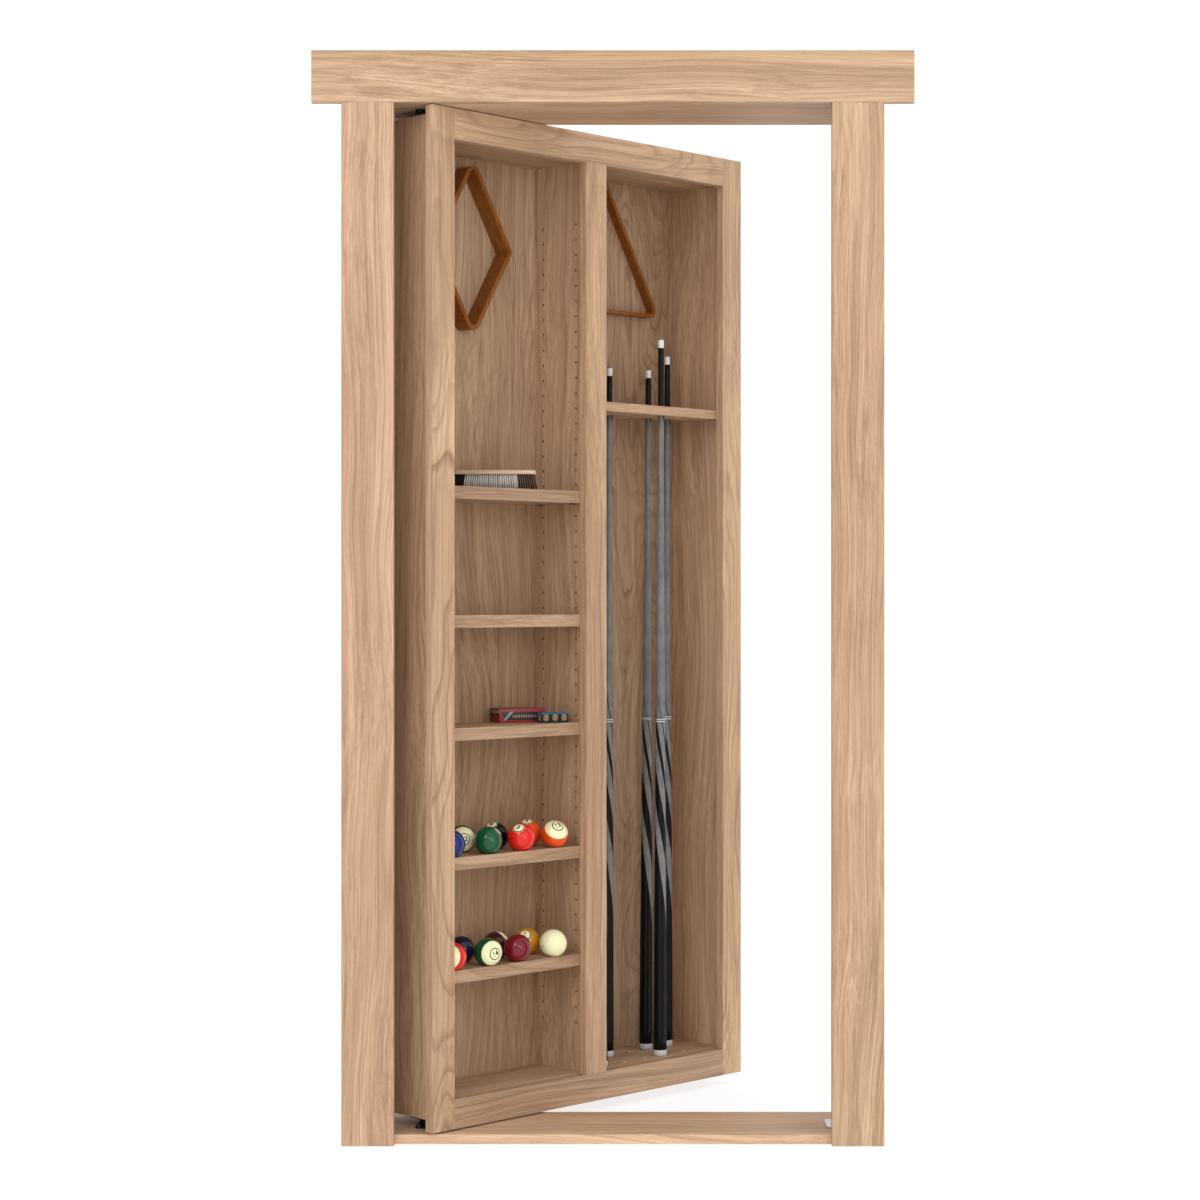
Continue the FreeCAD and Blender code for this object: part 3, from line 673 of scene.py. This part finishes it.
def make_balls():
    ink = material_print()
    for index, (number, shelf, u, v, look, roll) in enumerate(BALLS):
        top = door_box("shelf_%d" % shelf)[1].z
        centre = DOOR @ Vector((u * MM, v * MM, top + BALL_R - BALL_SINK))
        matrix = Matrix.Translation(centre) @ aim(look, math.radians(roll))
        bm = bmesh.new()
        bmesh.ops.create_icosphere(bm, subdivisions=5, radius=BALL_R)
        name = "ball_%02d" % number if number else "cue_ball"
        ball = add_object(name, bm, material_ball("resin_" + name, number), matrix)
        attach(ball, "cabinet_door")
        if index == 0:
            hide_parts("balls")
        if number:
            digits = add_object("number_%02d" % number, number_mesh(number), ink, matrix)
            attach(digits, "cabinet_door")


# ---- cues -------------------------------------------------------------------------------
END_RING = 2 * MM   # how far from a butt's ends its end rings reach
CAP_LEN = 13 * MM
BUTT_LEN = 727 * MM
BUTT_R = 14.6 * MM
JOINT_R = 10.6 * MM
FERRULE_R = 6.1 * MM
FERRULE_LEN = 17 * MM
TIP_LEN = 4 * MM
KNEE = 320 * MM      # the shaft is straight for this length below the tip
SKIN = 0.1 * MM      # how far the shaft lies inside the butt's radius at the joint
SWELL = 0.7 * MM     # how much wider than the ferrule the shaft is at its knee

PHASES = {1: 0.0, 2: 0.03, 3: 0.012, 4: 0.0, 5: 0.016}   # how far each cue's windings are shifted
BANDS = ((0.089, 0.019), (0.218, 0.039))   # middle below the joint and half width of the black bands
PITCH = 0.38            # metres that the bands drop in a turn
LAST_PITCH = 0.53       # the same for the edge of the solid black part
LAST_START = 0.342      # where that part starts, below the joint
SEAM = 0.75             # turn at which the windings start anew, behind the cue
FRONT = 0.25            # turn that faces the front
BLACK_END = 28 * MM     # how far below the rack the black of the upper end stops
BLACK_SLOPE, BLACK_RISE = 85 * MM, 44 * MM   # its edge climbs round the shaft, up to a limit
WIDE_RING_CUE = 4
LACQUER_SHINE = 0.14


def cue_axis(number):
    """Bottom of the cue's axis and its direction, from the CAD butt's two end rings."""
    points = [v.co for v in nodes["cue_%d_butt" % number].data.vertices]
    low_z = min(p.z for p in points)
    high_z = max(p.z for p in points)
    low = [p for p in points if p.z < low_z + END_RING]
    high = [p for p in points if p.z > high_z - END_RING]
    low_mid = sum(low, Vector()) / len(low)
    high_mid = sum(high, Vector()) / len(high)
    return low_mid, (high_mid - low_mid).normalized()


def angle_of(g, place):
    """Turns round the cue's axis, 0 on its left side and 0.5 on its right, and the height."""
    x, y, z = g.split(place)
    turn = g.math("ARCTAN2", y, x)
    return g.math("ADD", g.math("DIVIDE", turn, 2 * math.pi), 0.5), z


def windings(g, place, phase):
    """1 inside the black bands that wind steeply down from the joint, each wider than the last."""
    turn, z = angle_of(g, place)
    turn = g.math("SUBTRACT", turn, g.math("GREATER_THAN", turn, SEAM))
    around = g.math("SUBTRACT", turn, FRONT)
    down = g.math("SUBTRACT", BUTT_LEN + phase, z)
    level = g.math("SUBTRACT", down, g.math("MULTIPLY", around, PITCH))
    thin = g.span(down, -0.06, 0.07, 0.0014, 0.0085)
    mask = g.math("LESS_THAN", g.math("ABSOLUTE", level), thin)
    for middle, half in BANDS:
        off = g.math("ABSOLUTE", g.math("SUBTRACT", level, middle))
        mask = g.math("MAXIMUM", mask, g.math("LESS_THAN", off, half))
    last = g.math("SUBTRACT", down, g.math("MULTIPLY", around, LAST_PITCH))
    return g.math("MAXIMUM", mask, g.math("GREATER_THAN", last, LAST_START))


def material_cue(name, rack_z, phase):
    """Smoke grey lacquer, black from the tip to the rack and black below the windings."""
    g = Graph(name)
    place = g.coords()
    turn, z = angle_of(g, place)
    fleck = g.noise(g.mapping(place, scale=(300, 300, 12)), 1.0, 3.0)
    cloud = g.noise(g.mapping(place, scale=(90, 90, 40)), 1.0, 3.0)
    smoke = g.span(g.math("ADD", fleck, cloud), 0.7, 1.3)
    grey = g.mix(smoke, (0.150, 0.155, 0.158), (0.255, 0.252, 0.248))
    black = g.mix(fleck, (0.004, 0.004, 0.004), (0.009, 0.0085, 0.008))
    side = g.math("MULTIPLY", g.math("ABSOLUTE", g.math("SUBTRACT", turn, 0.5)), 2.0)
    rise = g.math("MINIMUM", g.math("MULTIPLY", side, BLACK_SLOPE), BLACK_RISE)
    edge = g.math("ADD", rise, rack_z - BLACK_END)
    mask = g.math("MAXIMUM", g.math("GREATER_THAN", z, edge), windings(g, place, phase))
    colour = g.mix(mask, grey, black)
    wear = g.noise(g.mapping(place, scale=(200, 200, 20)), 1.0, 3.0)
    return g, z, colour, g.span(wear, 0.3, 0.8, 0.24, 0.36)


def material_cue_shaft(name, rack_z, phase):
    g, _, colour, rough = material_cue(name, rack_z, phase)
    return g.finish(colour, rough, specular=LACQUER_SHINE)


def material_cue_butt(name, rack_z, phase, wide_ring):
    """The lower half, with two thin white rings at the joint, or one wide pale one."""
    g, z, colour, rough = material_cue(name, rack_z, phase)
    if wide_ring:
        rings = g.band(z, BUTT_LEN - 6.8 * MM, BUTT_LEN - 1.0 * MM)
        colour = g.mix(rings, colour, (0.36, 0.41, 0.44))
    else:
        upper = g.band(z, BUTT_LEN - 2.6 * MM, BUTT_LEN - 0.6 * MM)
        lower = g.band(z, BUTT_LEN - 7.4 * MM, BUTT_LEN - 5.4 * MM)
        colour = g.mix(g.math("MAXIMUM", upper, lower), colour, (0.74, 0.75, 0.74))
    return g.finish(colour, rough, specular=LACQUER_SHINE)


def material_ferrule():
    g = Graph("ferrule_white")
    place = g.coords()
    spot = g.noise(g.mapping(place, scale=(400, 400, 60)), 1.0, 3.0)
    colour = g.mix(spot, (0.86, 0.86, 0.85), (0.76, 0.76, 0.75))
    return g.finish(colour, g.span(spot, 0.3, 0.7, 0.22, 0.34), coat=0.2)


def material_cap():
    g = Graph("butt_cap_grey")
    place = g.coords()
    spot = g.noise(g.mapping(place, scale=(300, 300, 90)), 1.0, 3.0)
    colour = g.mix(spot, (0.52, 0.56, 0.57), (0.66, 0.69, 0.69))
    return g.finish(colour, g.span(spot, 0.3, 0.7, 0.30, 0.42), specular=0.3)


def material_tip():
    g = Graph("cue_tip_leather")
    place = g.coords()
    dust = g.noise(place, 900, 4.0, 0.7)
    colour = g.mix(dust, (0.10, 0.13, 0.15), (0.21, 0.25, 0.27))
    g.bump(dust, 0.5, 0.0003)
    return g.finish(colour, 0.85)


def shaft_profile(length):
    """Tapers to the knee, then runs almost straight to the ferrule."""
    knee = length - KNEE
    top = length - FERRULE_LEN - TIP_LEN
    profile = [(0, BUTT_LEN), (JOINT_R - 0.4 * MM, BUTT_LEN), (JOINT_R - SKIN, BUTT_LEN + 0.4 * MM)]
    steps = 40
    for step in range(1, steps + 1):
        z = BUTT_LEN + (top - BUTT_LEN) * step / steps
        reach = min(1.0, (z - BUTT_LEN) / (knee - BUTT_LEN))
        radius = JOINT_R - SKIN + (FERRULE_R + SWELL - JOINT_R + SKIN) * reach
        if z > knee:
            radius -= SWELL * (z - knee) / (top - knee)
        profile.append((radius, z))
    profile.append((0, top))
    return profile


def butt_profile():
    profile = [(0, CAP_LEN), (BUTT_R, CAP_LEN)]
    steps = 30
    for step in range(1, steps + 1):
        part = step / steps
        radius = BUTT_R + (JOINT_R - BUTT_R) * part
        profile.append((radius, CAP_LEN + (BUTT_LEN - CAP_LEN) * part))
    profile.append((0, BUTT_LEN))
    return profile


def cap_profile():
    return [(0, 0), (BUTT_R - 2.2 * MM, 0), (BUTT_R - 0.8 * MM, 0.5 * MM),
            (BUTT_R + 0.05 * MM, 1.8 * MM), (BUTT_R + 0.1 * MM, 6 * MM),
            (BUTT_R + 0.05 * MM, CAP_LEN - 0.4 * MM), (BUTT_R - 0.3 * MM, CAP_LEN), (0, CAP_LEN)]


def ferrule_profile(length):
    low = length - FERRULE_LEN - TIP_LEN
    high = length - TIP_LEN
    return [(0, low), (FERRULE_R - 0.2 * MM, low), (FERRULE_R, low + 0.4 * MM),
            (FERRULE_R, high - 0.3 * MM), (FERRULE_R - 0.15 * MM, high), (0, high)]


def tip_profile(length):
    low = length - TIP_LEN
    return [(0, low), (FERRULE_R - 0.1 * MM, low), (FERRULE_R, low + 0.8 * MM),
            (FERRULE_R - 0.4 * MM, length - 1.6 * MM), (FERRULE_R - 2.2 * MM, length - 0.5 * MM),
            (0, length)]


def make_cues():
    white = material_ferrule()
    pale = material_cap()
    leather = material_tip()
    rack_z = door_box("cue_shelf")[0].z
    for number, phase in PHASES.items():
        low, direction = cue_axis(number)
        origin = low - direction * CAP_LEN
        across = (Vector((1, 0, 0)) - direction * direction.x).normalized()
        turn = Matrix((across, direction.cross(across), direction)).transposed().to_4x4()
        matrix = Matrix.Translation(origin) @ turn
        trim_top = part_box("cue_%d_trim" % number)[1].z
        length = (trim_top - origin.z) / direction.z
        body = "cue_%d" % number
        rack_at = rack_z - origin.z

        lacquer = material_cue_shaft("shaft_%d" % number, rack_at, phase)
        shaft = add_object("cue_%d_shaft_skin" % number, lathe(shaft_profile(length)), lacquer, matrix)
        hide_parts("cue_%d_shaft" % number)

        lacquer = material_cue_butt("butt_%d" % number, rack_at, phase, number == WIDE_RING_CUE)
        butt = add_object("cue_%d_butt_skin" % number, lathe(butt_profile()), lacquer, matrix)
        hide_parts("cue_%d_butt" % number)

        cap = add_object("cue_%d_butt_cap" % number, lathe(cap_profile()), pale, matrix)
        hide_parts("cue_%d_trim" % number)

        ferrule = add_object("cue_%d_ferrule" % number, lathe(ferrule_profile(length), 32), white, matrix)

        tip = add_object("cue_%d_tip" % number, lathe(tip_profile(length), 32), leather, matrix)
        for piece in (shaft, butt, cap, ferrule, tip):
            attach(piece, body)


# ---- racks, brush, chalk ----------------------------------------------------------------
FIRST_RACK_SEED = 70
RACK_EASED = 1.2 * MM


def dress_racks():
    for seed, node in enumerate(("diamond_rack", "triangle_rack", "rack_pegs"), FIRST_RACK_SEED):
        dress(node, material_wood("amber_" + node, "z", seed, AMBER, True, rings=1.6, gloss=0.30))
        bevel(nodes[node], RACK_EASED, 3)


def material_bristle(name, low, high):
    g = Graph(name)
    place = g.coords()
    strand = g.noise(g.mapping(place, scale=(900, 900, 30)), 1.0, 2.0)
    colour = g.mix(strand, low, high)
    return g.finish(colour, 0.55, specular=0.3)


HAIR_CORNERS = (0.3, 2.4, 4.5)   # radians round a bristle's axis
COLUMNS, ROWS, HAIRS = 37, 6, 14
TUFT_REACH_X, TUFT_REACH_Y = 80, 12   # mm from the middle to the outermost tufts
WHITE_FROM, WHITE_TO = -60 * MM, 46 * MM   # the tufts beyond these are black
STOCK_CORNER = 10 * MM
CORNER_STEPS = 8
# The stock from its underside up: (how wide it is, how high), both as shares of the whole.
STOCK_LEVELS = ((0.994, 0.0), (1.0, 0.08), (1.0, 0.70), (0.985, 0.86), (0.95, 0.96), (0.92, 1.0))


def add_hair(bm, base, tip, radius):
    """One bristle: a thin three-sided spike from base to tip."""
    low = [bm.verts.new((base[0] + radius * math.cos(a), base[1] + radius * math.sin(a), base[2]))
           for a in HAIR_CORNERS]
    thin = 0.6 * radius
    high = [bm.verts.new((tip[0] + thin * math.cos(a), tip[1] + thin * math.sin(a), tip[2]))
            for a in HAIR_CORNERS]
    for i in range(3):
        j = (i + 1) % 3
        bm.faces.new((low[i], low[j], high[j], high[i]))
    bm.faces.new((high[0], high[1], high[2]))
    bm.faces.new((low[2], low[1], low[0]))


def stock_mesh(length, width, height):
    """A thin board with rounded ends and a slightly crowned top."""
    bm = bmesh.new()
    outline = []
    far_x, far_y = length / 2 - STOCK_CORNER, width / 2 - STOCK_CORNER
    corners = ((far_x, far_y, 0), (-far_x, far_y, 90), (-far_x, -far_y, 180), (far_x, -far_y, 270))
    for cx, cy, start in corners:
        for step in range(CORNER_STEPS + 1):
            turn = math.radians(start + step * 90 / CORNER_STEPS)
            outline.append((cx + STOCK_CORNER * math.cos(turn), cy + STOCK_CORNER * math.sin(turn)))
    rings = []
    for shrink, rise in STOCK_LEVELS:
        inset = (1 - shrink) * width / 2
        ring = [bm.verts.new((x * (1 - 2 * inset / length), y * shrink, rise * height)) for x, y in outline]
        rings.append(ring)
    count = len(outline)
    for a, b in zip(rings, rings[1:]):
        for i in range(count):
            bm.faces.new((a[i], a[(i + 1) % count], b[(i + 1) % count], b[i]))
    bm.faces.new(list(reversed(rings[0])))
    bm.faces.new(rings[-1])
    bmesh.ops.recalc_face_normals(bm, faces=bm.faces)
    return bm


def bristle_meshes(reach):
    """White and black hairs, that spread a little on their way down."""
    rng = random.Random(5)
    white, black = bmesh.new(), bmesh.new()
    for column in range(COLUMNS):
        x = (-TUFT_REACH_X + 2 * TUFT_REACH_X * column / (COLUMNS - 1)) * MM
        bm = white if WHITE_FROM < x < WHITE_TO else black
        for row in range(ROWS):
            y = (-TUFT_REACH_Y + 2 * TUFT_REACH_Y * row / (ROWS - 1)) * MM
            for _ in range(HAIRS):
                angle = rng.uniform(0, 2 * math.pi)
                out = math.sqrt(rng.uniform(0, 1))
                side, back = out * math.cos(angle), out * math.sin(angle)
                base = (x + 1.1 * MM * side, y + 1.3 * MM * back, 0.3 * MM)
                tip = (1.075 * x + 1.5 * MM * side + rng.uniform(-0.3, 0.3) * MM,
                       1.03 * y + 1.8 * MM * back, 0.2 * MM - reach + rng.uniform(0, 0.8) * MM)
                add_hair(bm, base, tip, rng.uniform(0.42, 0.62) * MM)
    return white, black


def make_brush():
    low, high = (Vector(corner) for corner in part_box("brush_block"))
    size = high - low
    matrix = Matrix.Translation(((low.x + high.x) / 2, (low.y + high.y) / 2, low.z))
    grain = material_wood("wood_brush", "x", 91, BEECH, False, rings=1.5, gloss=0.40)
    stock = add_object("brush_stock", stock_mesh(*size), grain, matrix)
    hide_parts("brush_block")
    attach(stock, "cabinet_door")

    white_hair, black_hair = bristle_meshes(low.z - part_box("brush_bristles")[0].z)
    white = material_bristle("bristle_white", (0.96, 0.95, 0.92), (0.84, 0.82, 0.78))
    black = material_bristle("bristle_black", (0.010, 0.010, 0.010), (0.035, 0.034, 0.033))
    pale = add_object("brush_bristles_white", white_hair, white, matrix)
    dark = add_object("brush_bristles_black", black_hair, black, matrix)
    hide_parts("brush_bristles")
    for piece in (pale, dark):
        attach(piece, "cabinet_door")


def material_carton():
    """Printed card: red with a darker band, a pale slash and plain bars where a label would be."""
    g = Graph("chalk_carton")
    place = g.coords()
    x, _, z = g.split(place)
    wear = g.noise(place, 160, 4.0, 0.6)
    red = g.mix(wear, (0.34, 0.038, 0.036), (0.22, 0.020, 0.020))
    band = g.band(z, 5.5 * MM, 22 * MM)
    band = g.math("MULTIPLY", band, g.math("LESS_THAN", g.math("ABSOLUTE", x), 46 * MM))
    slant = g.math("SUBTRACT", x, g.math("MULTIPLY", z, -0.8))
    band = g.math("MULTIPLY", band, g.math("GREATER_THAN", slant, -30 * MM))
    colour = g.mix(band, red, (0.020, 0.014, 0.014))
    lean = g.math("ADD", x, g.math("MULTIPLY", z, -0.9))
    slash = g.math("MULTIPLY", g.band(lean, -47 * MM, -40 * MM), g.band(z, 5 * MM, 23 * MM))
    colour = g.mix(slash, colour, (0.26, 0.31, 0.40))
    bars = g.math("GREATER_THAN", g.math("FRACT", g.math("MULTIPLY", x, 190.0)), 0.42)
    label = g.math("MULTIPLY", g.band(z, 10 * MM, 16 * MM), g.band(x, -22 * MM, 34 * MM))
    colour = g.mix(g.math("MULTIPLY", bars, label), colour, (0.40, 0.22, 0.19))
    fibre = g.noise(place, 1800, 3.0)
    g.bump(fibre, 0.1, 0.0002)
    return g.finish(colour, g.span(wear, 0.3, 0.8, 0.35, 0.5), specular=0.4)


def material_chalk():
    """Blue chalk with a paper wrap that has a plain gold roundel on each side."""
    g = Graph("chalk_cube")
    place = g.coords()
    x, y, z = g.split(place)
    grit = g.noise(place, 1500, 4.0, 0.7)
    blue = g.mix(grit, (0.030, 0.095, 0.17), (0.075, 0.18, 0.27))
    wrap = g.math("LESS_THAN", z, 6.5 * MM)
    paper = g.mix(g.noise(place, 300, 3.0), (0.012, 0.017, 0.016), (0.024, 0.032, 0.030))
    lift = g.math("MULTIPLY", z, z)
    side_x = g.math("SQRT", g.math("ADD", g.math("MULTIPLY", x, x), lift))
    side_y = g.math("SQRT", g.math("ADD", g.math("MULTIPLY", y, y), lift))
    near = g.math("MINIMUM", side_x, side_y)
    disc = g.math("LESS_THAN", near, 6.9 * MM)
    rim = g.band(near, 5.2 * MM, 6.0 * MM)
    gold = g.mix(g.band(z, -1.6 * MM, 1.8 * MM), (0.32, 0.28, 0.18), (0.32, 0.15, 0.06))
    label = g.mix(disc, paper, gold)
    label = g.mix(rim, label, (0.16, 0.12, 0.07))
    colour = g.mix(wrap, blue, label)
    g.bump(grit, 0.3, 0.0002)
    return g.finish(colour, 0.78, specular=0.2)


def slab(size, radius, segments):
    """Box with rounded edges, standing on z = 0 and centred in x and y."""
    bm = bmesh.new()
    bmesh.ops.create_cube(bm, size=1)
    bmesh.ops.scale(bm, vec=size, verts=bm.verts)
    bmesh.ops.translate(bm, vec=(0, 0, size[2] / 2), verts=bm.verts)
    bmesh.ops.bevel(bm, geom=list(bm.edges), offset=radius, segments=segments,
                    affect="EDGES", profile=0.5)
    return bm


CARTON = (102 * MM, 50 * MM, 29 * MM)
CARTON_TURN = math.radians(-20.9)
CARTON_CORNER = (285 * MM, 118 * MM)
FLAP_THICK = 0.5 * MM
CUBE = (20.3 * MM, 20.3 * MM, 21 * MM)
CUBE_TURN = math.radians(-16.5)
CUBE_CORNER = (349 * MM, 58 * MM)
CUBE_PITCH = 20.9 * MM
CUBE_COUNT = 3
HOLLOW = 2.4 * MM      # depth of the worn hollow
HOLLOW_SHARE = 0.46    # its radius, as a share of the cube's width


def make_carton(top):
    stand = Matrix.Translation((*CARTON_CORNER, top)) @ Matrix.Rotation(CARTON_TURN, 4, "Z")
    middle = stand @ Matrix.Translation((CARTON[0] / 2, CARTON[1] / 2, 0))
    card = material_carton()
    carton = add_object("chalk_carton", slab(CARTON, 0.5 * MM, 2), card, DOOR @ middle)
    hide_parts("chalk_box")
    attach(carton, "cabinet_door")
    # tuck flaps: a thin card at each end
    for side, name in ((-1, "left"), (1, "right")):
        bm = slab((FLAP_THICK, CARTON[1] - 3 * MM, CARTON[2] * 0.62), 0.15 * MM, 1)
        shift = Matrix.Translation((side * (CARTON[0] / 2 - 0.2 * MM), 0, CARTON[2] * 0.33))
        flap = add_object("chalk_carton_flap_" + name, bm, card, DOOR @ middle @ shift)
        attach(flap, "cabinet_door")


def cube_mesh():
    """Straight wrapped sides and a top with a worn hollow."""
    bm = bmesh.new()
    steps = 12
    grid = {}
    for i in range(steps + 1):
        for j in range(steps + 1):
            x = (i / steps - 0.5) * CUBE[0]
            y = (j / steps - 0.5) * CUBE[1]
            far = math.hypot(x, y) / (CUBE[0] * HOLLOW_SHARE)
            dip = HOLLOW * max(0.0, 1 - far * far)
            grid[i, j] = bm.verts.new((x, y, CUBE[2] / 2 - dip))
    for i in range(steps):
        for j in range(steps):
            bm.faces.new((grid[i, j], grid[i + 1, j], grid[i + 1, j + 1], grid[i, j + 1]))
    rim = ([grid[i, 0] for i in range(steps)] + [grid[steps, j] for j in range(steps)]
           + [grid[i, steps] for i in range(steps, 0, -1)] + [grid[0, j] for j in range(steps, 0, -1)])
    foot = [bm.verts.new((v.co.x, v.co.y, -CUBE[2] / 2)) for v in rim]
    for k in range(len(rim)):
        n = (k + 1) % len(rim)
        bm.faces.new((rim[k], foot[k], foot[n], rim[n]))
    bm.faces.new(foot)
    bmesh.ops.recalc_face_normals(bm, faces=bm.faces)
    return bm


def make_cubes(top):
    material = material_chalk()
    stand = Matrix.Translation((*CUBE_CORNER, top)) @ Matrix.Rotation(CUBE_TURN, 4, "Z")
    for index in range(CUBE_COUNT):
        along = index * CUBE_PITCH + CUBE[0] / 2
        matrix = DOOR @ stand @ Matrix.Translation((along, CUBE[1] / 2, CUBE[2] / 2))
        cube = add_object("chalk_cube_%d" % (index + 1), cube_mesh(), material, matrix)
        bevel(cube, 0.4 * MM)
        if index == 0:
            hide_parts("chalk_cubes")
        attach(cube, "cabinet_door")


def make_chalk():
    top = door_box("shelf_3")[1].z
    make_carton(top)
    make_cubes(top)


# ---- all together -----------------------------------------------------------------------
make_camera()
make_light()
make_floor()
dress_boards()
dress_metal()
dress_racks()
make_balls()
make_cues()
make_brush()
make_chalk()
